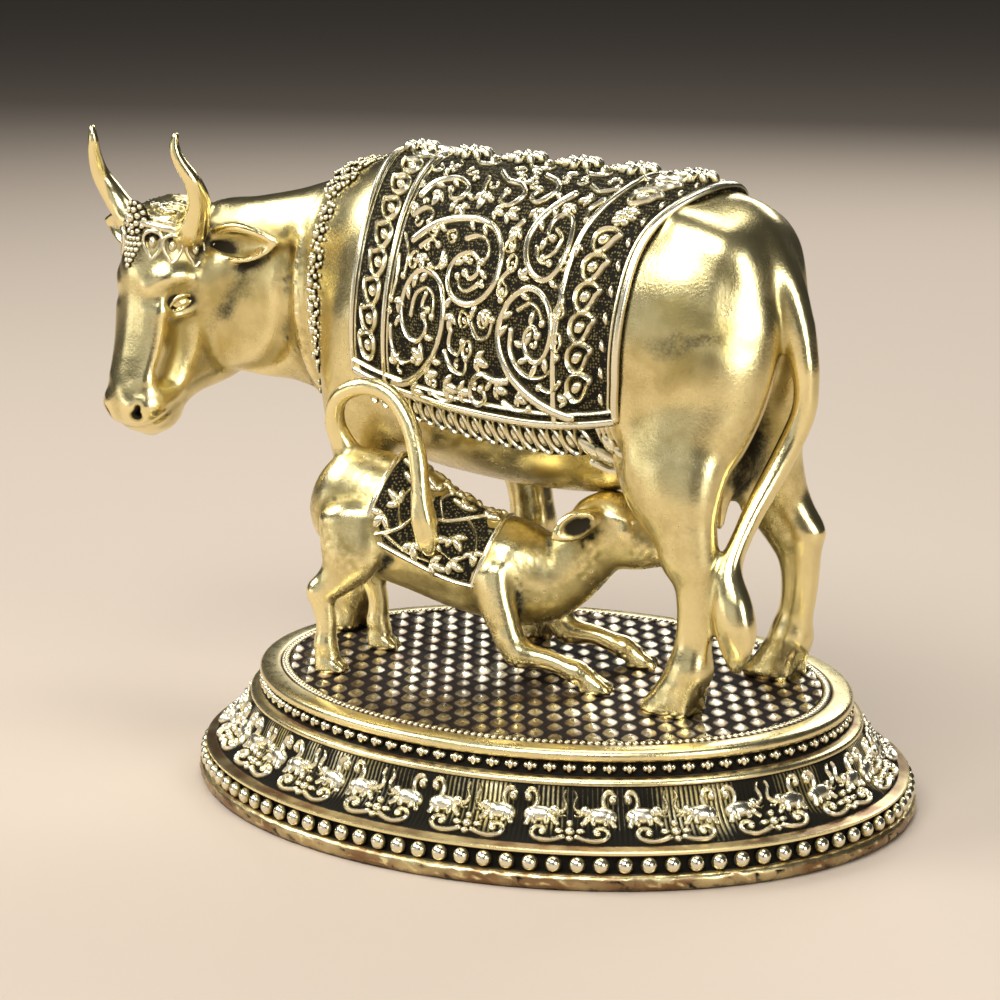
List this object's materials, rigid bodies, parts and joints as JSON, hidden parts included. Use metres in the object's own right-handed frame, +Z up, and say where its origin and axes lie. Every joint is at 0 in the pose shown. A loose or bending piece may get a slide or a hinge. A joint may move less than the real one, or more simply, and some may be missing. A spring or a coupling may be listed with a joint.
{
  "type": "kamdhenu cow statue",
  "caption": "Cast brass figure of a standing cow in a patterned saddle cloth with her suckling calf, on an oval plinth with a carved foot.",
  "frame": {"origin": "middle of the plinth's underside", "axes": "+Z up, X along the plinth's long axis with the cow's chest towards -X, -Y the cow's left side"},
  "size_m": [0.2336, 0.1508, 0.1482],
  "materials": {
    "plinth": "antique brass, dark patina in the carving, rubbed bright on the rims and beads",
    "cow": "polished cast brass with black patina in the carving",
    "calf": "polished cast brass with black patina in the carving"
  },
  "bodies": {
    "root": {"plinth": "plinth", "cow": "cow", "calf": "calf"}
  },
  "joints": []
}
